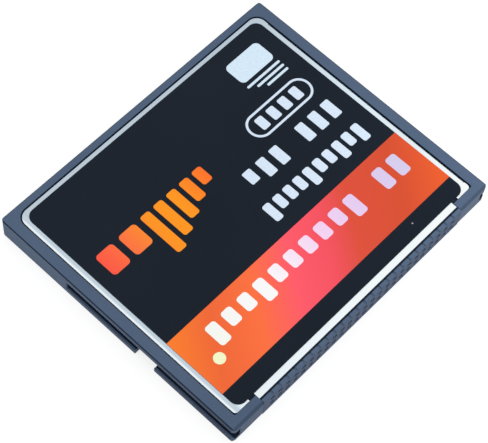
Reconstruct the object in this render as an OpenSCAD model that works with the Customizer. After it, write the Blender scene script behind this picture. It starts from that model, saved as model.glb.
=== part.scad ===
// Compact flash card: moulded frame, stamped covers, printed label, 50-way socket and its board.
// Origin: centre of the underside. +X across the guide slots, -Y the socket face, +Z the label side.

/* [Card] */
// Width across the guide slots
card_w = 42.8; // [42:0.1:50]
// Length from the socket face to the back edge
card_l = 36.4; // [36:0.1:46]
// Thickness over the frame's rims
card_h = 3.3; // [3.25:0.05:4.5]
// Radius of the frame's upright corner edges
corner_r = 0.5; // [0.3:0.05:0.8]
// Chamfer along the frame's side and back edges
edge_chamfer = 0.12; // [0.1:0.02:0.3]
// Chamfer along the frame's front edges
front_chamfer = 0.3; // [0.2:0.02:0.44]

/* [Frame] */
// Rim left beside the covers on each side
side_rim = 1.4; // [1.3:0.05:1.6]
// Rim left behind the covers
back_rim = 0.9; // [0.6:0.05:1.2]
// Rim of the two hooks in front of the covers
hook_rim = 1.25; // [1.1:0.05:1.4]
// Reach of each front hook, from the card's side
hook_reach = 4.7; // [4.3:0.05:4.9]
// Thickness of the side walls beside the hollow
side_wall = 2.4; // [2.2:0.05:2.6]
// Thickness of the back wall behind the hollow
back_wall = 1.8; // [1.5:0.05:2.2]
// Corner radius of the cover recess at the back
recess_back_r = 1.5; // [1.3:0.1:2]
// Corner radius of the cover recess at the hooks
recess_front_r = 0.2; // [0.1:0.05:0.3]

/* [Guide slots] */
// Depth of both guide slots
slot_depth = 1.01; // [0.8:0.01:1.15]
// Height of the wide slot, on the -X side
wide_slot_h = 1.6; // [1.2:0.05:1.8]
// Height of the narrow slot, on the +X side
narrow_slot_h = 0.99; // [0.7:0.01:1.1]
// Length of both slots from the socket face
slot_l = 25.78; // [20:0.01:30]
// Distance from the socket face to the notch in each lower lip
notch_from_front = 12; // [9:0.1:14]
// Length of that notch
notch_l = 3; // [2:0.1:4]

/* [Covers] */
// Sheet thickness
cover_t = 0.15; // [0.1:0.01:0.18]
// Depth of the cover's face below the frame's rim
cover_sink = 0.1; // [0.09:0.01:0.15]
// Gap between a cover's flanged side and the rim
cover_gap = 0.06; // [0.05:0.01:0.2]
// Gap round a cover's unflanged corners and back edge
corner_gap = 0.19; // [0.15:0.01:0.3]
// Corner radius of a cover at the back
cover_back_r = 1.3; // [0.8:0.1:1.6]
// Corner radius of a cover at the front
cover_front_r = 0.42; // [0.2:0.02:0.8]
// Outer radius of the bend into a side flange
bend_r = 0.3; // [0.2:0.02:0.4]
// Reach of a side flange below the sheet's inner face
flange_reach = 0.6; // [0.45:0.05:0.7]
// Distance from the back edge to the corner relief, where the flange starts
flange_from_back = 3; // [2.4:0.1:5]
// Distance from the socket face to the front end of the flange
flange_from_front = 2.2; // [1.9:0.1:5]
// Number of snap windows along each flange
windows = 3; // [2:1:5]
// Length of a snap window
window_l = 1.6; // [1:0.1:3]
// Height of a snap window
window_h = 0.26; // [0.2:0.01:0.3]
// Gap between the front strip and the socket's lip
strip_gap = 0.28; // [0.1:0.01:0.3]
// Width of the relief at each end of the front strip
relief_w = 0.95; // [0.5:0.05:1.5]

/* [Label] */
// Thickness of the label
label_t = 0.06; // [0.04:0.005:0.06]
// Thickness of one printed layer
ink_t = 0.015; // [0.01:0.001:0.015]
// Margin from the cover's side to the label
label_side = 0.81; // [0.4:0.01:2]
// Margin from the back edge of the card to the label
label_back = 1.6; // [1.3:0.05:3]
// Margin from the socket face to the label
label_front = 1.56; // [1.5:0.01:1.8]
// Corner radius of the label
label_r = 1.15; // [0.4:0.05:2]
// Start of the printed band behind the label's front edge, in hundredths of the label's length
band_start = 7.1; // [3:0.1:9]
// End of the printed band, in hundredths of the label's length
band_end = 32.5; // [28:0.1:36]

/* [Socket] */
// Depth of the socket housing
housing_l = 6.6; // [6.2:0.1:8]
// Depth of the slit lip at the socket face
lip_l = 0.46; // [0.3:0.01:0.5]
// Gap between the housing and the frame
housing_gap = 0.05; // [0.04:0.01:0.1]
// Distance between neighbouring contacts
contact_pitch = 1.27; // [1.1:0.01:1.28]
// Distance between the two rows
row_pitch = 1.27; // [1.2:0.01:1.3]
// Least wall left beside the last pin hole of a row
row_margin = 0.7; // [0.5:0.05:0.7]
// Width of a square pin hole at the face
mouth_w = 0.64; // [0.6:0.01:0.85]
// Width of a pin hole behind its lead-in
throat_w = 0.54; // [0.5:0.01:0.58]
// Width of a contact cavity
cavity_w = 0.56; // [0.5:0.01:0.62]
// Height of a contact cavity
cavity_h = 1; // [0.98:0.01:1.06]
// Width of a slit in the top of the lip
slit_w = 0.28; // [0.2:0.01:0.6]
// Depth of that slit
slit_h = 0.12; // [0.05:0.01:0.24]
// Width of a contact's arms and tail
contact_w = 0.32; // [0.2:0.01:0.4]
// Sheet thickness of a contact
contact_t = 0.1; // [0.06:0.01:0.12]
// Length of a contact's tail behind the housing
tail_l = 1.7; // [1:0.1:2.2]

/* [Board] */
// Thickness of the board
board_t = 0.6; // [0.5:0.05:0.62]
// Gap between the board and the frame
board_gap = 0.2; // [0.1:0.01:0.4]
// Diameter of a locating pin
pin_d = 1; // [0.6:0.05:1.2]
// Width of a support bracket
bracket_w = 2; // [1.6:0.1:2.6]
// Height of a chip's body
chip_h = 1; // [0.7:0.01:1]
// Gap between a chip's body and the board
chip_lift = 0.05; // [0.02:0.01:0.06]
// Width of a memory chip across its lead rows
flash_l = 18.4; // [12:0.1:19]
// Width of a memory chip along its lead rows
flash_w = 12; // [12:0.1:13]
// Side of the controller chip
controller_w = 10; // [9:0.1:10.5]
// Distance between the memory chips under the board
flash_gap = 3; // [1:0.1:6]
// Margin from the board's +X edge to the memory chip on top
flash_margin = 3.8; // [3.6:0.1:4.2]
// Distance between neighbouring chip leads
lead_pitch = 0.5; // [0.4:0.05:0.5]
// Reach of a chip lead beyond the body
lead_reach = 0.8; // [0.6:0.05:1]

/* [Hidden] */
$fn = 48;

// Places of the main planes
side_x = card_w / 2;
front_y = -card_l / 2;
back_y = card_l / 2;
mid_z = card_h / 2;
over = 1;

// Cover recess and the covers in it
recess_x = side_x - side_rim;
recess_back_y = back_y - back_rim;
recess_front_y = front_y + hook_rim;
cover_x = recess_x - cover_gap;
cover_corner_x = recess_x - corner_gap;
cover_back_y = recess_back_y - corner_gap;
cover_front_y = recess_front_y + cover_gap;
cover_top_z = card_h - cover_sink;
seat_z = cover_top_z - cover_t;
flange_y0 = front_y + flange_from_front;
flange_y1 = back_y - flange_from_back;
flange_end_z = seat_z - flange_reach;
window_z = (seat_z - (bend_r - cover_t) + flange_end_z) / 2;
window_step = (flange_y1 - flange_y0) / windows;
flange_play = 0.04;

// Hollow of the frame
hollow_x = side_x - side_wall;
hollow_back_y = back_y - back_wall;
hook_x = side_x - hook_reach;

// Socket housing and contacts
housing_x = hook_x - housing_gap;
row_count = floor(2 * (housing_x - row_margin) / contact_pitch);
ear_x = hollow_x - housing_gap;
lip_y = front_y + lip_l;
strip_y = lip_y + strip_gap;
strip_root_y = front_y + label_front + 0.02;
housing_back_y = front_y + housing_l;
row_z = row_pitch / 2;
mouth_l = 0.35;
throat_l = 0.9;
tip_u = 1;
touch_u = 1.4;
arm_u = 2.2;
base_u0 = housing_l - 1.6;
base_u1 = housing_l - 0.9;
tip_v = 0.3;
touch_v = 0.24;
arm_v = 0.33;
base_v = arm_v + contact_t;

// Board and what it carries
board_top_z = board_t / 2;
board_x = hollow_x - board_gap;
board_back_y = hollow_back_y - board_gap;
board_front_y = housing_back_y + housing_gap;
tongue_x = housing_x;
tongue_y = front_y + housing_l - 0.7;
pocket_l = 0.8;
tail_v = board_top_z - row_z;
pin_x = hollow_x - bracket_w / 2;
pin_front_y = board_front_y + 1.6;
pin_back_y = board_back_y - 1.3;
pin_play = 0.1;
bracket_l = 2.2;
chip_z = board_top_z + chip_lift;
flash_y = (housing_back_y + tail_l + hollow_back_y) / 2;
upper_flash_x = board_x - flash_margin - flash_w / 2;
lower_flash_x = (flash_w + flash_gap) / 2;
controller_x = (upper_flash_x - flash_w / 2 - board_x) / 2;
lead_t = 0.12;
lead_w = 0.22;
lead_foot = 0.5;
flash_leads = floor(flash_w / lead_pitch);
controller_leads_a_side = floor(0.8 * controller_w / lead_pitch);

// Label and its print
label_x = cover_x - label_side;
label_y0 = front_y + label_front;
label_y1 = back_y - label_back;
label_z = cover_top_z;
print_z = label_z + label_t;

// The print is laid out in hundredths of the label: u runs from its +X edge, v from its front edge
print_u = 2 * label_x / 100;
print_v = (label_y1 - label_y0) / 100;

// Small parts on the board: sizes along X, Y and Z, and centres in X and Y
regulator_size = [1.6, 2.9, chip_h];
regulator_at = [2.8 - board_x, board_front_y + 4.9];
regulator_pitch = 0.95;
oscillator_size = [2.5, 3.2, 0.8];
oscillator_at = [3.4 - board_x, board_back_y - 3.25];
oscillator_r = 0.3;
tank_size = [1.6, 2.9, 0.8];
tank_at = [board_x - flash_margin / 2, flash_y];
tank_lift = 0.1;
terminal_t = 0.15;
terminal_l = 0.9;
small_l = 1;
small_w = 0.5;
small_h = 0.5;
small_end = 0.25;
capacitor_step = 2.4;
capacitor_offset = 2.1;
resistor_step = 1.7;
resistor_offset = 0.8;

FRAME_COLOR = [0.3, 0.36, 0.46];
STEEL_COLOR = [0.86, 0.88, 0.9];
BLACK_COLOR = [0.1, 0.11, 0.13];
GOLD_COLOR = [0.85, 0.68, 0.32];
TIN_COLOR = [0.75, 0.76, 0.78];

// Flat outline with one radius at its front corners and another at its back corners
module plate_outline(half_w, y0, y1, front_r, back_r) {
    translate([-half_w, y0 + front_r])
        square([2 * half_w, y1 - y0 - front_r - back_r]);
    translate([-half_w + front_r, y0])
        square([2 * (half_w - front_r), y1 - y0 - back_r]);
    translate([-half_w + back_r, y0 + front_r])
        square([2 * (half_w - back_r), y1 - y0 - front_r]);
    for (s = [-1, 1]) {
        translate([s * (half_w - front_r), y0 + front_r])
            circle(r = front_r);
        translate([s * (half_w - back_r), y1 - back_r])
            circle(r = back_r);
    }
}

// Box between two corners
module span(a, b) {
    translate(a)
        cube(b - a);
}

// Copy above the middle plane and its mirror image below it
module both_faces() {
    children();
    translate([0, 0, card_h])
        mirror([0, 0, 1])
            children();
}

// Section of the frame, w wide and card_h high, with chamfer a on its -X edges and b on its +X edges
module chamfered_section(w, a, b) {
    polygon([
        [-w / 2 + a, 0], [w / 2 - b, 0], [w / 2, b], [w / 2, card_h - b],
        [w / 2 - b, card_h], [-w / 2 + a, card_h], [-w / 2, card_h - a], [-w / 2, a]
    ]);
}

// Block of the frame's outer form
module frame_block() {
    intersection() {
        linear_extrude(card_h)
            plate_outline(side_x, front_y, back_y, corner_r, corner_r);
        translate([0, back_y, 0])
            rotate([90, 0, 0])
                linear_extrude(card_l)
                    chamfered_section(card_w, edge_chamfer, edge_chamfer);
        translate([-side_x, 0, 0])
            rotate([90, 0, 90])
                linear_extrude(card_w)
                    chamfered_section(card_l, front_chamfer, edge_chamfer);
    }
}

// Room for one cover and its two flanges, on the label side
module cover_recess() {
    translate([0, 0, seat_z])
        linear_extrude(card_h)
            plate_outline(recess_x, recess_front_y, recess_back_y, recess_front_r, recess_back_r);
    for (s = [0, 1])
        mirror([s, 0, 0]) {
            span([cover_x - cover_t - flange_play, flange_y0 - flange_play, flange_end_z - flange_play],
                 [cover_x + flange_play, flange_y1 + flange_play, cover_top_z]);
            span([cover_x - bend_r - flange_play, flange_y0 - flange_play, cover_top_z - bend_r],
                 [cover_x + flange_play, flange_y1 + flange_play, cover_top_z]);
        }
}

// Bumps in the flange grooves that snap into the windows of the flanges
module catches() {
    for (s = [0, 1], i = [0 : windows - 1])
        mirror([s, 0, 0])
            translate([cover_x, flange_y0 + (i + 0.5) * window_step, window_z])
                span([-cover_t, -window_l / 2 + flange_play, -window_h / 2 + flange_play],
                     [2 * flange_play, window_l / 2 - flange_play, window_h / 2 - flange_play]);
}

// Guide slot with the notch in its lower lip, on the +X side
module guide_slot(h) {
    span([side_x - slot_depth, front_y - over, mid_z - h / 2],
         [side_x + over, front_y + slot_l, mid_z + h / 2]);
    span([side_x - slot_depth, front_y + notch_from_front, -over],
         [side_x + over, front_y + notch_from_front + notch_l, mid_z]);
}

// Brackets that carry the board at its four corners, each with a locating pin
module board_brackets() {
    for (s = [-1, 1], y = [pin_front_y, pin_back_y]) {
        mirror([s < 0 ? 1 : 0, 0, 0])
            span([hollow_x - bracket_w, y - bracket_l / 2, card_h - seat_z],
                 [hollow_x + corner_r, y + bracket_l / 2, mid_z - board_t / 2]);
        translate([s * pin_x, y, mid_z - board_t])
            cylinder(h = 1.5 * board_t + board_gap, d = pin_d);
    }
}

module frame() {
    color(FRAME_COLOR) {
        difference() {
            frame_block();
            span([-hollow_x, recess_front_y, -over], [hollow_x, hollow_back_y, card_h + over]);
            span([-hook_x, front_y - over, -over], [hook_x, recess_front_y + over, card_h + over]);
            both_faces()
                cover_recess();
            guide_slot(narrow_slot_h);
            mirror([1, 0, 0])
                guide_slot(wide_slot_h);
        }
        both_faces()
            catches();
        board_brackets();
    }
}

// Bent edge of a cover: quarter bend and flange, drawn in X and Z with the sheet's top face at Z 0
module flange_section() {
    difference() {
        intersection() {
            translate([cover_x - bend_r, -bend_r])
                circle(r = bend_r);
            translate([cover_x - bend_r, -bend_r])
                square(bend_r);
        }
        translate([cover_x - bend_r, -bend_r])
            circle(r = bend_r - cover_t);
    }
    translate([cover_x - cover_t, -cover_t - flange_reach])
        square([cover_t, cover_t + flange_reach - bend_r]);
}

// Stamped cover with its sheet's inner face on the seat of the label side
module cover() {
    translate([0, 0, seat_z])
        linear_extrude(cover_t)
            difference() {
                union() {
                    plate_outline(cover_corner_x, cover_front_y, cover_back_y, cover_front_r, cover_back_r);
                    translate([-housing_x, strip_y])
                        square([2 * housing_x, over - strip_y + cover_front_y]);
                }
                for (s = [-1, 1]) {
                    translate([s * (cover_x - bend_r + over / 2), (flange_y0 + flange_y1) / 2])
                        square([over, flange_y1 - flange_y0], center = true);
                    translate([s * (housing_x + relief_w / 2), strip_root_y - over / 2])
                        square([relief_w, over], center = true);
                }
            }
    for (s = [0, 1])
        mirror([s, 0, 0])
            difference() {
                translate([0, flange_y1, cover_top_z])
                    rotate([90, 0, 0])
                        linear_extrude(flange_y1 - flange_y0)
                            flange_section();
                for (i = [0 : windows - 1])
                    translate([cover_x, flange_y0 + (i + 0.5) * window_step, window_z])
                        cube([over, window_l, window_h], center = true);
            }
}

module top_cover() {
    color(STEEL_COLOR)
        cover();
}

module bottom_cover() {
    color(STEEL_COLOR)
        translate([0, 0, card_h])
            mirror([0, 0, 1])
                cover();
}

module label() {
    color(BLACK_COLOR)
        translate([0, 0, label_z])
            linear_extrude(label_t)
                plate_outline(label_x, label_y0, label_y1, label_r, label_r);
}

// Plain mark of the print between two places, with corner radius r in hundredths of the label's length
module mark(u0, u1, v0, v1, r) {
    translate([label_x - u1 * print_u, label_y0 + v0 * print_v])
        rounded_field((u1 - u0) * print_u, (v1 - v0) * print_v, r * print_v);
}

// Rounded rectangle with one corner at the origin
module rounded_field(w, l, r) {
    for (p = [[0, r], [r, 0]])
        translate(p)
            square([w - 2 * p[0], l - 2 * p[1]]);
    for (x = [r, w - r], y = [r, l - r])
        translate([x, y])
            circle(r = r);
}

// Row of plain blocks that stand on the line v from u on, one for each height; 0 leaves a space
module block_row(u, v, heights, w, gap, r) {
    for (i = [0 : len(heights) - 1])
        if (heights[i] > 0)
            mark(u + i * (w + gap), u + i * (w + gap) + w, v - heights[i], v, r);
}

// Printed layer on the label, or on the layer that is printed first
module ink(layer) {
    translate([0, 0, print_z + layer * ink_t])
        linear_extrude(ink_t)
            children();
}

module label_band() {
    color([0.92, 0.33, 0.2])
        ink(0)
            translate([-label_x, label_y0 + band_start * print_v])
                square([2 * label_x, (band_end - band_start) * print_v]);
}

module label_headline() {
    tall = 8.9;
    low = 6.6;
    heights = [tall, tall, 0, tall, low, low, low, low, low, tall, low, low, tall];
    color("white")
        ink(1)
            block_row(6, 27.5, heights, 4.1, 2.5, 1.2);
}

module label_dot() {
    color([0.95, 0.9, 0.62])
        ink(1)
            translate([label_x - 92.6 * print_u, label_y0 + 16.5 * print_v])
                circle(r = 2.2 * print_v);
}

module label_lines() {
    tall = 7.8;
    low = 5.7;
    upper_line = [tall, low, tall, low, low, tall, low, low, low, tall];
    lower_line = [tall, tall, tall, 0, tall, tall, low];
    color("white")
        ink(0) {
            block_row(6, 45.2, upper_line, 2.9, 1.5, 0.9);
            block_row(6, 59, lower_line, 3.4, 2.45, 0.6);
            difference() {
                mark(5.3, 32, 63.2, 73.4, 5.05);
                mark(6.1, 31.2, 64.1, 72.5, 4.15);
            }
            block_row(9.6, 71, [5.4, 5.4, 5.4, 5.4], 3.1, 2, 0.7);
        }
}

module label_tile() {
    color([0.93, 0.95, 0.96])
        ink(0) {
            mark(6, 20.5, 84, 93.6, 2);
            for (i = [0 : 2])
                mark(6, 20.5 - 2.6 * i, 81.4 - 2.1 * i, 82.4 - 2.1 * i, 0.45);
        }
}

module label_gauge() {
    color([0.95, 0.5, 0.15])
        ink(0) {
            block_row(51.2, 71.9, [6.8, 9.8, 12.8, 15.8, 18.8], 3.7, 1.75, 1);
            block_row(79, 71.9, [9.8, 9.8], 6.9, 2.4, 1.5);
        }
}

// Calls its child once for each contact, moved to that contact's place along X
module at_contacts() {
    for (i = [0 : row_count - 1])
        translate([(i - (row_count - 1) / 2) * contact_pitch, 0, 0])
            children();
}

// Square passage centred on X and the row, between two depths behind the socket face
module passage(w, h, u0, u1) {
    span([-w / 2, front_y + u0, -h / 2], [w / 2, front_y + u1, h / 2]);
}

module connector_housing() {
    color([0.34, 0.41, 0.54])
        difference() {
            union() {
                span([-housing_x, front_y, 0], [housing_x, lip_y, card_h]);
                span([-housing_x, front_y, card_h - seat_z], [housing_x, housing_back_y, seat_z]);
                span([-ear_x, recess_front_y + housing_gap, card_h - seat_z], [ear_x, housing_back_y, seat_z]);
            }
            for (s = [-1, 1])
                translate([0, 0, mid_z + s * row_z])
                    at_contacts() {
                        passage(mouth_w, mouth_w, -over, mouth_l);
                        passage(throat_w, throat_w, -over, throat_l + over / 2);
                        passage(cavity_w, cavity_h, throat_l, housing_l + over);
                    }
            at_contacts()
                span([-slit_w / 2, front_y - over, card_h - slit_h], [slit_w / 2, lip_y + over, card_h + over]);
            span([-tongue_x - housing_gap / 2, housing_back_y - pocket_l, mid_z - board_t / 2 - board_gap / 10],
                 [tongue_x + housing_gap / 2, housing_back_y + over, mid_z + board_t / 2 + board_gap / 10]);
        }
}

// Side view of one sprung contact: u runs back from the socket face, v is the height over its row
module contact_section() {
    t = contact_t;
    tail_u = housing_l + tail_l;
    polygon([
        [tip_u, tip_v], [touch_u, touch_v], [arm_u, arm_v], [base_u0, arm_v],
        [base_u0, -arm_v], [arm_u, -arm_v], [touch_u, -touch_v], [tip_u, -tip_v],
        [tip_u, -tip_v - t], [touch_u, -touch_v - t], [arm_u, -base_v], [base_u1, -base_v],
        [base_u1, tail_v], [tail_u, tail_v], [tail_u, tail_v + t], [base_u1, tail_v + t],
        [base_u1, base_v], [arm_u, base_v], [touch_u, touch_v + t], [tip_u, tip_v + t]
    ]);
}

// One contact of the upper row, with the wide base that grips its cavity
module contact() {
    translate([-contact_w / 2, front_y, mid_z + row_z])
        rotate([90, 0, 90])
            linear_extrude(contact_w)
                contact_section();
    translate([0, 0, mid_z + row_z])
        passage(cavity_w, 2 * base_v, base_u0, base_u1);
}

module upper_contacts() {
    color(GOLD_COLOR)
        at_contacts()
            contact();
}

module lower_contacts() {
    color(GOLD_COLOR)
        translate([0, 0, card_h])
            mirror([0, 0, 1])
                at_contacts()
                    contact();
}

module circuit_board() {
    color([0.08, 0.35, 0.25])
        translate([0, 0, mid_z - board_t / 2])
            linear_extrude(board_t)
                difference() {
                    union() {
                        plate_outline(board_x, board_front_y, board_back_y, corner_r, corner_r);
                        translate([-tongue_x, tongue_y])
                            square([2 * tongue_x, over + board_front_y - tongue_y]);
                    }
                    for (s = [-1, 1], y = [pin_front_y, pin_back_y])
                        translate([s * pin_x, y])
                            circle(d = pin_d + pin_play);
                }
}

// Moulded chip body centred at a place on the upper face of the board
module chip_body(at, size) {
    translate([at[0], at[1], mid_z + chip_z + size[2] / 2])
        cube(size, center = true);
}

// Gull-wing lead: from the body at x 0 outwards along +X, with its foot on the board
module gull_wing() {
    knee = lead_reach - lead_foot;
    exit_z = chip_lift + chip_h / 2;
    translate([0, lead_w / 2, mid_z + board_top_z])
        rotate([90, 0, 0])
            linear_extrude(lead_w)
                polygon([
                    [0, exit_z], [knee * 0.6, exit_z], [knee, 0], [lead_reach, 0],
                    [lead_reach, lead_t], [knee + lead_t, lead_t], [knee * 0.6 + lead_t, exit_z + lead_t],
                    [0, exit_z + lead_t]
                ]);
}

// Row of leads on the +X side of a body whose half width is half_w
module lead_row(half_w, count) {
    for (i = [0 : count - 1])
        translate([half_w, (i - (count - 1) / 2) * lead_pitch, 0])
            gull_wing();
}

module controller_chip() {
    color(BLACK_COLOR)
        chip_body([controller_x, flash_y], [controller_w, controller_w, chip_h]);
}

module controller_leads() {
    color(TIN_COLOR)
        translate([controller_x, flash_y, 0])
            for (a = [0 : 90 : 270])
                rotate([0, 0, a])
                    lead_row(controller_w / 2, controller_leads_a_side);
}

// Leads of one memory chip, on its front and back ends
module flash_lead_rows() {
    for (a = [90, 270])
        rotate([0, 0, a])
            lead_row(flash_l / 2, flash_leads);
}

module upper_flash_chip() {
    color(BLACK_COLOR)
        chip_body([upper_flash_x, flash_y], [flash_w, flash_l, chip_h]);
}

module upper_flash_leads() {
    color(TIN_COLOR)
        translate([upper_flash_x, flash_y, 0])
            flash_lead_rows();
}

// Copy to the underside of the board
module below_board() {
    translate([0, 0, card_h])
        mirror([0, 0, 1])
            children();
}

module lower_flash_chips() {
    color(BLACK_COLOR)
        below_board()
            for (s = [-1, 1])
                chip_body([s * lower_flash_x, flash_y], [flash_w, flash_l, chip_h]);
}

module lower_flash_leads() {
    color(TIN_COLOR)
        below_board()
            for (s = [-1, 1])
                translate([s * lower_flash_x, flash_y, 0])
                    flash_lead_rows();
}

module voltage_regulator() {
    color(BLACK_COLOR)
        chip_body(regulator_at, regulator_size);
}

module regulator_leads() {
    color(TIN_COLOR)
        translate([regulator_at[0], regulator_at[1], 0]) {
            for (i = [-1 : 1])
                translate([regulator_size[0] / 2, i * regulator_pitch, 0])
                    gull_wing();
            for (i = [-1, 1])
                translate([-regulator_size[0] / 2, i * regulator_pitch, 0])
                    rotate([0, 0, 180])
                        gull_wing();
        }
}

module oscillator() {
    color([0.7, 0.71, 0.73])
        translate([oscillator_at[0], oscillator_at[1], mid_z + board_top_z])
            linear_extrude(oscillator_size[2])
                translate([-oscillator_size[0] / 2, -oscillator_size[1] / 2])
                    rounded_field(oscillator_size[0], oscillator_size[1], oscillator_r);
}

module tank_capacitor() {
    color([0.75, 0.5, 0.12])
        translate([tank_at[0], tank_at[1], mid_z + board_top_z + tank_lift + tank_size[2] / 2])
            cube(tank_size, center = true);
}

// The two bent terminals: each runs under one end of the body and up its end face
module tank_terminals() {
    half_w = tank_size[0] / 2 - terminal_t;
    end_y = tank_size[1] / 2;
    color(TIN_COLOR)
        for (a = [0, 180])
            translate([tank_at[0], tank_at[1], mid_z + board_top_z])
                rotate([0, 0, a]) {
                    span([-half_w, end_y + terminal_t - terminal_l, 0],
                         [half_w, end_y + terminal_t, tank_lift]);
                    span([-half_w, end_y, 0], [half_w, end_y + terminal_t, tank_lift + tank_size[2] / 2]);
                }
}

// Places of the small capacitors: a row in front of the controller and one behind it
function capacitor_places() = [
    for (s = [-1, 1], i = [-2 : 2])
        [controller_x + i * capacitor_step, flash_y + s * (controller_w / 2 + capacitor_offset)]
];

// Places of the small resistors: a column beside the memory chip
function resistor_places() = [
    for (i = [0 : 7])
        [upper_flash_x - flash_w / 2 - resistor_offset, flash_y + (i - 3.5) * resistor_step]
];

// Middle parts of small two-ended parts
module small_bodies(places) {
    for (p = places)
        translate([p[0], p[1], mid_z + board_top_z + small_h / 2])
            cube([small_l - 2 * small_end, small_w, small_h], center = true);
}

// Metal ends of small two-ended parts
module small_ends(places) {
    for (p = places, s = [-1, 1])
        translate([p[0] + s * (small_l - small_end) / 2, p[1], mid_z + board_top_z + small_h / 2])
            cube([small_end, small_w, small_h], center = true);
}

module ceramic_capacitors() {
    color([0.66, 0.52, 0.38])
        small_bodies(capacitor_places());
}

module capacitor_ends() {
    color(TIN_COLOR)
        small_ends(capacitor_places());
}

module resistors() {
    color(BLACK_COLOR)
        small_bodies(resistor_places());
}

module resistor_ends() {
    color(TIN_COLOR)
        small_ends(resistor_places());
}

frame();
top_cover();
bottom_cover();
label();
label_band();
label_headline();
label_lines();
label_tile();
label_gauge();
label_dot();
connector_housing();
upper_contacts();
lower_contacts();
circuit_board();
controller_chip();
controller_leads();
upper_flash_chip();
upper_flash_leads();
lower_flash_chips();
lower_flash_leads();
voltage_regulator();
regulator_leads();
oscillator();
tank_capacitor();
tank_terminals();
ceramic_capacitors();
capacitor_ends();
resistors();
resistor_ends();
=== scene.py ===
import math

import bpy
from mathutils import Matrix, Vector

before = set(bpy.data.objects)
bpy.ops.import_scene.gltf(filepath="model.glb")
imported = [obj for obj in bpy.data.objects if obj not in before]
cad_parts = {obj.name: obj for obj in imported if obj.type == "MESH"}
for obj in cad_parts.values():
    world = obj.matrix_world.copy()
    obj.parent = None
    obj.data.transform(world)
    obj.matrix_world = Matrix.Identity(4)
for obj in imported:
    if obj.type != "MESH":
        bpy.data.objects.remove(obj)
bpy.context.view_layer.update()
MM = 0.001

# Camera, found by fitting the card's known edges to the photograph (millimetres, degrees, pixels)
CAMERA_AT = (-76.08, -58.20, 175.57)
CAMERA_AZIMUTH = -52.499
CAMERA_ELEVATION = 61.578
CAMERA_ROLL = 6.608
FOCAL_PIXELS = 1723.3
PHOTO_WIDTH_PIXELS = 488
SENSOR_WIDTH_MM = 36
CLIP_START_M = 0.01

# Light levels, where 1 is a white surface that renders white
WORLD_FILL = 0.78
FLOOR_GLOW = 0.74
FLOOR_TONE = 0.34
FLOOR_BOUNCE = 0.86

# Lamps: place and side in metres, power in watts
LAMPS = {
    "overhead": ((-0.09, -0.10, 0.50), 0.35, 0.55),
    "corner": ((0.032, -0.026, 0.022), 0.012, 0.0022),
}

# Half the floor's side, and how far it lies below the card to keep off its underside (metres)
FLOOR_HALF = 0.6
FLOOR_DROP = 0.00002

# What follows gives the finishes their places on the card, in millimetres of the frame.
# The card's outline and its chamfers
HALF_X, HALF_Y, TOP_Z = 21.4, 18.2, 3.3
SIDE_CHAMFER, FRONT_CHAMFER = 0.12, 0.3
# The guide slots' painted shade: inner wall, half height, back end, and the strip at the opening
# that stays light
SLOT_WALL_X, SLOT_HALF_Z, SLOT_END_Y, SLOT_RIM = 20.35, 0.82, 7.6, 0.25
# The recess of a cover: sides, front and back, and how far below the top its shade starts
RECESS_X, RECESS_FRONT_Y, RECESS_BACK_Y, RECESS_START = 20.0, -16.95, 17.3, 0.04
# Back of the socket's lip
LIP_Y = -17.74
# Reach beyond a flat face that still counts as on it
FACE_SLACK = 0.01
# Half the width over which the tone changes at the edge of a chamfer
EDGE_BLUR = 0.02
# Share of the chamfers' painted shade that the wide front ones take
FRONT_SHARE = 0.35
# Where the -X face starts to darken, and the share of its shade at the front
LEFT_SHADE_Y, LEFT_SHADE_SHARE = 8.0, 0.6
# The steel's painted sheen: how far its bands slant, and the reach of its tones from the middle
SHEEN_SLANT, SHEEN_REACH = 0.2, 20.0
# The steel strip along the -X side, which has one painted tone of reflection: edge, start of the
# rest, place in the painted sheen
STRIP_X, STRIP_END_X, STRIP_PLACE = -19.1, -18.7, 0.25
# The steel's bend on the -X side, with a painted highlight: edge, end, and how much further it lies
# in the painted sheen
BEND_X, BEND_END_X, BEND_LIFT = -19.72, -19.5, 0.75
# Speck on the label: middle, and the radii between which it fades
SPECK_AT, SPECK_CORE, SPECK_EDGE = (11.38, -15.23, 3.26), 0.06, 0.12

# Most of a noise texture's values lie between these
NOISE_LOW, NOISE_HIGH = 0.3, 0.7


def linear(colour):
    """Linear colour with alpha of an sRGB colour written as 0-255."""
    out = []
    for v in colour:
        c = v / 255
        out.append(c / 12.92 if c <= 0.04045 else ((c + 0.055) / 1.055) ** 2.4)
    return (*out, 1.0)


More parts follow.
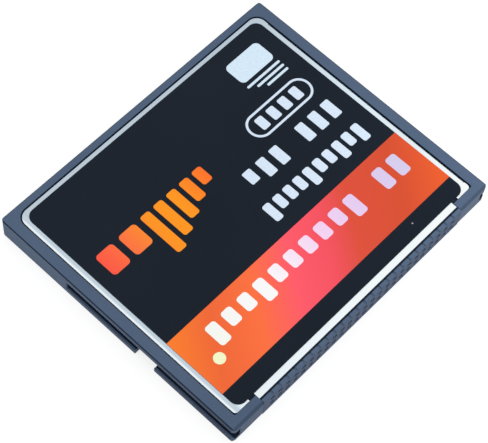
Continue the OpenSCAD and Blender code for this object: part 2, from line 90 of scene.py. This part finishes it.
class Shader:
    """A material's node tree with short calls for the nodes that the finishes here share."""

    def __init__(self, name):
        self.material = bpy.data.materials.new(name)
        self.material.use_nodes = True
        self.tree = self.material.node_tree
        self.surface = self.tree.nodes["Principled BSDF"]
        self.coords = self.node("ShaderNodeTexCoord").outputs["Object"]

    def node(self, kind, inputs=None, **settings):
        n = self.tree.nodes.new(kind)
        for key, value in settings.items():
            setattr(n, key, value)
        for key, value in (inputs or {}).items():
            self.feed(n.inputs[key], value)
        return n

    def feed(self, socket, value):
        if isinstance(value, bpy.types.NodeSocket):
            self.tree.links.new(value, socket)
        else:
            socket.default_value = value

    def mm(self, stretch=(1, 1, 1)):
        """The frame's coordinates in millimetres, each axis times a stretch."""
        scale = [s / MM for s in stretch]
        return self.node("ShaderNodeMapping", {"Vector": self.coords, "Scale": scale}).outputs[0]

    def axis(self, name):
        return self.node("ShaderNodeSeparateXYZ", {"Vector": self.mm()}).outputs[name]

    def noise(self, scale, detail=3.0, stretch=(1, 1, 1)):
        values = {"Vector": self.mm(stretch), "Scale": scale, "Detail": detail}
        return self.node("ShaderNodeTexNoise", values).outputs["Fac"]

    def calc(self, operation, a, b=0.0):
        return self.node("ShaderNodeMath", {0: a, 1: b}, operation=operation).outputs[0]

    def plus(self, a, b):
        return self.calc("ADD", a, b)

    def minus(self, a, b):
        return self.calc("SUBTRACT", a, b)

    def times(self, a, b):
        return self.calc("MULTIPLY", a, b)

    def less(self, a, b):
        return self.calc("LESS_THAN", a, b)

    def more(self, a, b):
        return self.calc("GREATER_THAN", a, b)

    def every(self, *tests):
        """Product of tests, so 1 where all of them are 1."""
        out = tests[0]
        for test in tests[1:]:
            out = self.times(out, test)
        return out

    def remap(self, value, low, high, to_low, to_high):
        values = {"Value": value, "From Min": low, "From Max": high,
                  "To Min": to_low, "To Max": to_high}
        return self.node("ShaderNodeMapRange", values).outputs[0]

    def spread(self, noise, to_low, to_high):
        """Noise spread over the range from to_low to to_high."""
        return self.remap(noise, NOISE_LOW, NOISE_HIGH, to_low, to_high)

    def ramp(self, value, stops):
        """Colour ramp through (place, sRGB colour) stops."""
        n = self.node("ShaderNodeValToRGB", {"Fac": value})
        points = n.color_ramp.elements
        while len(points) < len(stops):
            points.new(0.5)
        for point, (place, colour) in zip(points, stops):
            point.position = place
            point.color = linear(colour)
        return n.outputs["Color"]

    def blend(self, factor, a, b):
        n = self.node("ShaderNodeMix", data_type="RGBA")
        self.feed(n.inputs["Factor"], factor)
        self.feed(n.inputs[6], a)
        self.feed(n.inputs[7], b)
        return n.outputs[2]

    def bump(self, height, depth_mm, strength=1.0):
        values = {"Height": height, "Distance": depth_mm * MM, "Strength": strength}
        self.feed(self.surface.inputs["Normal"], self.node("ShaderNodeBump", values).outputs[0])

    def set(self, **values):
        names = {"colour": "Base Color", "rough": "Roughness", "metal": "Metallic",
                 "specular": "Specular IOR Level"}
        for key, value in values.items():
            self.feed(self.surface.inputs[names[key]], value)


def off_middle(s):
    """Height above or below the card's middle plane."""
    return s.calc("ABSOLUTE", s.minus(s.axis("Z"), TOP_Z / 2))


def sideways(s):
    """Distance from the card's middle along X."""
    return s.calc("ABSOLUTE", s.axis("X"))


def near_faces(s, depth):
    """1 from the card's top and bottom faces down to a depth, 0 between."""
    start = TOP_Z / 2 - depth
    return s.remap(off_middle(s), start - EDGE_BLUR, start + EDGE_BLUR, 0.0, 1.0)


def on_chamfers(s):
    """Painted shade of the outer chamfers, which look dark from reflecting dark surroundings: 1 on
    the sides and the back, a share on the wide front ones, or 0.
    """
    to_side = s.calc("MINIMUM", s.minus(HALF_X, sideways(s)), s.minus(HALF_Y, s.axis("Y")))
    side = s.remap(to_side, SIDE_CHAMFER - EDGE_BLUR, SIDE_CHAMFER + EDGE_BLUR, 1.0, 0.0)
    to_front = s.plus(HALF_Y, s.axis("Y"))
    front = s.remap(to_front, FRONT_CHAMFER - EDGE_BLUR, FRONT_CHAMFER + 4 * EDGE_BLUR,
                    FRONT_SHARE, 0.0)
    return s.calc("MAXIMUM", s.times(side, near_faces(s, SIDE_CHAMFER)),
                  s.times(front, near_faces(s, FRONT_CHAMFER)))


def in_slots(s):
    """Painted shade deep in the guide slots: 1 on their inner faces, from a little way in."""
    return s.every(s.more(sideways(s), SLOT_WALL_X), s.less(sideways(s), HALF_X - SLOT_RIM),
                   s.less(off_middle(s), SLOT_HALF_Z), s.less(s.axis("Y"), SLOT_END_Y))


def in_recess(s):
    """Painted shade in the gap around a cover: 1 on the frame's faces that lie in the recess of a
    cover.
    """
    slack = 2 * FACE_SLACK
    return s.every(s.less(sideways(s), RECESS_X + slack),
                   s.more(s.axis("Y"), RECESS_FRONT_Y - slack),
                   s.less(s.axis("Y"), RECESS_BACK_Y + slack),
                   s.less(off_middle(s), TOP_Z / 2 - RECESS_START))


def behind_lip(s):
    """Painted shade in the gap behind the socket's lip: 1 on the socket's faces behind its lip,
    where the covers lie.
    """
    return s.every(s.more(s.axis("Y"), LIP_Y - FACE_SLACK),
                   s.less(off_middle(s), TOP_Z / 2 - RECESS_START))


def on_left_front(s):
    """Rises along the card's -X face to the front, where less light reaches it."""
    return s.every(s.less(s.axis("X"), FACE_SLACK - HALF_X),
                   s.remap(s.axis("Y"), LEFT_SHADE_Y, -HALF_Y, 0.0, LEFT_SHADE_SHARE))


def on_front(s):
    """Painted shade on the socket's front face: 1 on the face that the socket turns to the front.
    """
    return s.less(s.axis("Y"), FACE_SLACK - HALF_Y)


def moulded(name, dark, light, rough, grain_mm, depth_mm, specular=0.5, shades=()):
    """Moulded plastic: two close tones, a fine grain in gloss and height, and slow flow marks.
    Shades are the places that less light reaches, each with its darker colour."""
    s = Shader(name)
    grain = s.noise(1 / grain_mm, 4.0)
    flow = s.noise(0.16, 2.0, (1, 0.6, 1))
    tone = s.plus(s.times(grain, 0.55), s.times(flow, 0.45))
    colour = s.ramp(tone, [(0.32, dark), (0.68, light)])
    for where, shade in shades:
        colour = s.blend(where(s), colour, linear(shade))
    s.set(colour=colour, rough=s.spread(grain, rough - 0.06, rough + 0.06), specular=specular)
    s.bump(grain, depth_mm)
    return s.material


def rolled_steel(name, sheen, rough):
    """Thin rolled steel: a fine blasted grain, faint rolling lines, and a painted sheen that rises
    to the front right. The strip along the -X side has one painted tone of reflection, and its bend
    has the brightest painted highlight."""
    s = Shader(name)
    grain = s.noise(8.0, 4.0)
    lines = s.noise(1.0, 4.0, (9, 0.3, 9))
    fine = s.plus(s.times(grain, 0.5), s.times(lines, 0.3))
    x = s.axis("X")
    across = s.minus(s.times(x, SHEEN_SLANT), s.axis("Y"))
    place = s.remap(across, -SHEEN_REACH, SHEEN_REACH, 0.0, 1.0)
    strip = s.remap(x, STRIP_X, STRIP_END_X, 1.0, 0.0)
    place = s.plus(place, s.times(strip, s.minus(STRIP_PLACE, place)))
    place = s.plus(place, s.remap(x, BEND_X, BEND_END_X, BEND_LIFT, 0.0))
    place = s.plus(place, s.remap(fine, 0.25, 0.55, -0.05, 0.05))
    s.set(colour=s.ramp(place, sheen), metal=1.0, rough=s.spread(grain, rough - 0.05, rough + 0.07))
    s.bump(grain, 0.002)
    return s.material


def plated(name, dark, light, rough):
    """Plated or tinned metal with slight differences of tone from place to place."""
    s = Shader(name)
    spots = s.noise(2.5)
    s.set(colour=s.ramp(spots, [(NOISE_LOW, dark), (NOISE_HIGH, light)]), metal=1.0,
          rough=s.spread(spots, rough - 0.06, rough + 0.08))
    s.bump(spots, 0.004)
    return s.material


def film(s, rough, specular):
    """Gloss film over a print: slow waves of the adhesive and tiny differences in gloss."""
    waves = s.noise(0.35, 2.0)
    fine = s.noise(6.0)
    s.set(rough=s.spread(fine, rough - 0.03, rough + 0.04), specular=specular)
    s.bump(waves, 0.006, 0.5)
    return s.material


def label_film(name, dark, light, speck):
    """The label's black ground under its film, with slow changes of tone and one speck of dust."""
    s = Shader(name)
    fine = s.noise(2.2, 4.0)
    slow = s.noise(0.06, 2.0)
    tone = s.plus(s.times(fine, 0.3), s.times(slow, 0.7))
    ground = s.ramp(tone, [(NOISE_LOW, dark), (NOISE_HIGH, light)])
    away = s.node("ShaderNodeVectorMath", {0: s.mm(), 1: SPECK_AT}, operation="DISTANCE")
    spot = s.remap(away.outputs["Value"], SPECK_CORE, SPECK_EDGE, 1.0, 0.0)
    s.set(colour=s.blend(spot, ground, linear(speck)))
    return film(s, 0.16, 0.15)


def printed(name, stops, low, high, slant=0.0):
    """Ink whose colour runs across the card, from low to high in X less a share of Y."""
    s = Shader(name)
    across = s.axis("X")
    if slant:
        across = s.minus(across, s.times(s.axis("Y"), slant))
    place = s.remap(across, low, high, 0.0, 1.0)
    grain = s.times(s.minus(s.noise(5.0), 0.5), 0.02)
    s.set(colour=s.ramp(s.plus(place, grain), stops))
    return film(s, 0.2, 0.16)


def plain_ink(name, dark, light):
    """Ink of one colour with a faint change of tone."""
    s = Shader(name)
    s.set(colour=s.ramp(s.noise(4.0), [(0.35, dark), (0.65, light)]))
    return film(s, 0.24, 0.2)


def solder_mask(name):
    """Board face: green mask over fine copper runs."""
    s = Shader(name)
    runs = s.node("ShaderNodeTexBrick", {
        "Vector": s.mm(), "Color1": linear((20, 86, 58)), "Color2": linear((24, 96, 64)),
        "Mortar": linear((46, 128, 86)), "Scale": 1.0, "Mortar Size": 0.05,
        "Brick Width": 2.6, "Row Height": 0.42})
    s.set(colour=runs.outputs["Color"], rough=s.spread(s.noise(3.0), 0.28, 0.4), specular=0.5)
    s.bump(runs.outputs["Fac"], 0.01, 0.6)
    return s.material


# The steel's painted sheen: its tones from its back left to its front right
STEEL_PAINTED_SHEEN = [(0.0, (190, 203, 214)), (0.15, (184, 200, 212)), (0.3, (200, 214, 224)),
               (0.6, (220, 236, 246)), (0.8, (228, 238, 245)), (0.92, (240, 248, 251)),
               (1.0, (246, 251, 252))]
# The band's colours from -X to +X, which lie on a slant: they move BAND_SLANT along X for each
# millimetre of Y, so BAND_SHIFT keeps them in place where the band lies
BAND = [(0.02, (253, 125, 40)), (0.15, (241, 103, 50)), (0.3, (253, 111, 60)),
        (0.44, (254, 88, 104)), (0.56, (243, 79, 93)), (0.66, (218, 76, 54)),
        (0.84, (209, 75, 42)), (0.98, (224, 87, 36))]
BAND_SLANT = 0.68
BAND_SHIFT = 9.7 * BAND_SLANT
BAND_REACH = 22.0
# The gauge's and the headline's colours from -X to +X, and where they start and end
GAUGE = [(0.0, (255, 84, 66)), (0.25, (255, 118, 60)), (0.45, (255, 148, 24)),
         (0.68, (255, 152, 20)), (1.0, (255, 108, 36))]
GAUGE_FROM, GAUGE_TO = -17.5, 0.0
HEADLINE = [(0.1, (247, 249, 243)), (0.34, (250, 248, 250)), (0.58, (243, 208, 240)),
            (0.8, (218, 198, 234)), (0.96, (206, 197, 227))]
HEADLINE_FROM, HEADLINE_TO = -18.0, 18.0

FINISHES = {
    # The frame's shades are painted shade: towards the front of the -X face, deep in the guide
    # slots, in the gaps of the covers' recesses, and as dark reflections on the chamfers
    "frame_plastic": moulded(
        "frame_plastic", (75, 92, 116), (85, 102, 126), rough=0.52, grain_mm=0.12, depth_mm=0.006,
        specular=0.05, shades=[(on_left_front, (34, 42, 56)), (in_slots, (26, 36, 53)),
                               (in_recess, (28, 38, 54)), (on_chamfers, (26, 38, 56))]),
    # The socket's shades are painted shade: on its front face, and in the gap behind its lip
    "socket_plastic": moulded(
        "socket_plastic", (79, 97, 122), (88, 107, 132), rough=0.5, grain_mm=0.1, depth_mm=0.004,
        specular=0.05, shades=[(on_front, (66, 82, 108)), (behind_lip, (32, 42, 56))]),
    # The steel's colour carries a painted sheen, painted reflection and a painted highlight on its
    # bend
    "steel": rolled_steel("steel", STEEL_PAINTED_SHEEN, rough=0.32),
    "label_black": label_film("label_black", (2, 16, 30), (9, 23, 37), speck=(178, 168, 182)),
    "band_ink": printed("band_ink", BAND, BAND_SHIFT - BAND_REACH, BAND_SHIFT + BAND_REACH,
                        BAND_SLANT),
    "orange_ink": printed("orange_ink", GAUGE, GAUGE_FROM, GAUGE_TO),
    "headline_ink": printed("headline_ink", HEADLINE, HEADLINE_FROM, HEADLINE_TO),
    "white_ink": plain_ink("white_ink", (209, 225, 244), (219, 235, 251)),
    "pale_ink": plain_ink("pale_ink", (208, 229, 246), (218, 238, 252)),
    "cream_ink": plain_ink("cream_ink", (240, 246, 196), (247, 251, 210)),
    "gold": plated("gold", (214, 170, 88), (238, 200, 120), rough=0.26),
    "tin": plated("tin", (186, 188, 190), (214, 216, 218), rough=0.32),
    "can_metal": plated("can_metal", (172, 174, 178), (206, 208, 212), rough=0.24),
    "board": solder_mask("board"),
    "chip_black": moulded("chip_black", (26, 27, 29), (38, 39, 42),
                          rough=0.55, grain_mm=0.09, depth_mm=0.01, specular=0.4),
    "tank_yellow": moulded("tank_yellow", (196, 142, 44), (214, 160, 58),
                           rough=0.5, grain_mm=0.15, depth_mm=0.006),
    "capacitor_tan": moulded("capacitor_tan", (158, 122, 86), (178, 142, 104),
                             rough=0.45, grain_mm=0.12, depth_mm=0.004),
}
NODE_FINISH = {
    "frame": "frame_plastic", "connector_housing": "socket_plastic",
    "top_cover": "steel", "bottom_cover": "steel",
    "label": "label_black", "label_band": "band_ink", "label_headline": "headline_ink",
    "label_lines": "white_ink", "label_tile": "pale_ink", "label_gauge": "orange_ink",
    "label_dot": "cream_ink",
    "upper_contacts": "gold", "lower_contacts": "gold",
    "circuit_board": "board",
    "controller_chip": "chip_black", "controller_leads": "tin",
    "upper_flash_chip": "chip_black", "upper_flash_leads": "tin",
    "lower_flash_chips": "chip_black", "lower_flash_leads": "tin",
    "voltage_regulator": "chip_black", "regulator_leads": "tin",
    "oscillator": "can_metal",
    "tank_capacitor": "tank_yellow", "tank_terminals": "tin",
    "ceramic_capacitors": "capacitor_tan", "capacitor_ends": "tin",
    "resistors": "chip_black", "resistor_ends": "tin",
}
# Width of each part's softened edges, in millimetres
EDGE_MM = {
    "frame": 0.05, "connector_housing": 0.03, "top_cover": 0.025, "bottom_cover": 0.025,
    "controller_chip": 0.08, "upper_flash_chip": 0.08, "lower_flash_chips": 0.08,
    "voltage_regulator": 0.06, "tank_capacitor": 0.06, "oscillator": 0.08,
}
# Vertices closer than this are one, and edges that turn more than this are softened
WELD_MM = 0.002
SHARP_DEGREES = 28


def soften(obj, width_mm):
    """Small rounds on a part's edges, with flat faces that stay flat."""
    weld = obj.modifiers.new("weld", "WELD")
    weld.merge_threshold = WELD_MM * MM
    bevel = obj.modifiers.new("edges", "BEVEL")
    bevel.width = width_mm * MM
    bevel.segments = 2
    bevel.limit_method = "ANGLE"
    bevel.angle_limit = math.radians(SHARP_DEGREES)
    normals = obj.modifiers.new("normals", "WEIGHTED_NORMAL")
    normals.keep_sharp = True


def dress_parts():
    for node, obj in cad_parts.items():
        obj.data.materials.clear()
        obj.data.materials.append(FINISHES[NODE_FINISH[node]])
        if node in EDGE_MM:
            soften(obj, EDGE_MM[node])


def background_rays(tree):
    """1 for the camera's rays and for those that metal and glass send on, 0 for the others."""
    rays = tree.nodes.new("ShaderNodeLightPath").outputs
    seen = rays["Is Camera Ray"]
    for name in ("Is Glossy Ray", "Is Transmission Ray"):
        both = tree.nodes.new("ShaderNodeMath")
        both.operation = "MAXIMUM"
        tree.links.new(seen, both.inputs[0])
        tree.links.new(rays[name], both.inputs[1])
        seen = both.outputs[0]
    return seen


def floor_material():
    """White floor: it glows for the camera and in reflections, and keeps part of the shadow."""
    s = Shader("floor")
    tree = s.tree
    tree.nodes.remove(s.surface)
    glow = s.node("ShaderNodeEmission", {"Color": (1, 1, 1, 1), "Strength": FLOOR_GLOW})
    tone = s.node("ShaderNodeBsdfDiffuse", {"Color": (FLOOR_TONE, FLOOR_TONE, FLOOR_TONE, 1)})
    both = s.node("ShaderNodeAddShader", {0: glow.outputs[0], 1: tone.outputs[0]})
    bounce = s.node("ShaderNodeBsdfDiffuse",
                    {"Color": (FLOOR_BOUNCE, FLOOR_BOUNCE, FLOOR_BOUNCE, 1)})
    mix = s.node("ShaderNodeMixShader", {0: background_rays(tree), 1: bounce.outputs[0],
                                         2: both.outputs[0]})
    tree.links.new(mix.outputs[0], tree.nodes["Material Output"].inputs["Surface"])
    return s.material


def build_floor():
    mesh = bpy.data.meshes.new("floor")
    corners = [(-FLOOR_HALF, -FLOOR_HALF, 0), (FLOOR_HALF, -FLOOR_HALF, 0),
               (FLOOR_HALF, FLOOR_HALF, 0), (-FLOOR_HALF, FLOOR_HALF, 0)]
    mesh.from_pydata(corners, [], [(0, 1, 2, 3)])
    floor = bpy.data.objects.new("floor", mesh)
    bpy.context.scene.collection.objects.link(floor)
    floor.location.z = -FLOOR_DROP
    mesh.materials.append(floor_material())


def build_world():
    """Even white surroundings: full white where they are seen, less as light on the card."""
    world = bpy.data.worlds.new("studio")
    world.use_nodes = True
    bpy.context.scene.world = world
    tree = world.node_tree
    back = tree.nodes["Background"]
    back.inputs["Color"].default_value = (1, 1, 1, 1)
    level = tree.nodes.new("ShaderNodeMapRange")
    level.inputs["To Min"].default_value = WORLD_FILL
    level.inputs["To Max"].default_value = 1.0
    tree.links.new(background_rays(tree), level.inputs["Value"])
    tree.links.new(level.outputs[0], back.inputs["Strength"])


def soft_light(name, place, size, watts):
    """Square softbox aimed at the card."""
    data = bpy.data.lights.new(name, "AREA")
    data.size = size
    data.energy = watts
    light = bpy.data.objects.new(name, data)
    bpy.context.scene.collection.objects.link(light)
    light.location = place
    light.rotation_euler = (-Vector(place)).to_track_quat("-Z", "Y").to_euler()
    light.visible_camera = False
    light.visible_glossy = False


def build_camera():
    az = math.radians(CAMERA_AZIMUTH)
    el = math.radians(CAMERA_ELEVATION)
    roll = math.radians(CAMERA_ROLL)
    right = Vector((math.cos(az), math.sin(az), 0))
    back = Vector((math.sin(az) * math.cos(el), -math.cos(az) * math.cos(el), math.sin(el)))
    up = back.cross(right)
    turned_right = right * math.cos(roll) + up * math.sin(roll)
    turned_up = back.cross(turned_right)
    data = bpy.data.cameras.new("camera")
    data.sensor_width = SENSOR_WIDTH_MM
    data.lens = FOCAL_PIXELS / PHOTO_WIDTH_PIXELS * SENSOR_WIDTH_MM
    data.clip_start = CLIP_START_M
    camera = bpy.data.objects.new("camera", data)
    bpy.context.scene.collection.objects.link(camera)
    turn = Matrix((turned_right, turned_up, back)).transposed().to_4x4()
    camera.matrix_world = Matrix.Translation(Vector(CAMERA_AT) * MM) @ turn
    bpy.context.scene.camera = camera


dress_parts()
build_floor()
build_world()
for lamp, (place, size, watts) in LAMPS.items():
    soft_light(lamp, place, size, watts)
build_camera()
bpy.context.scene.view_settings.view_transform = "Standard"
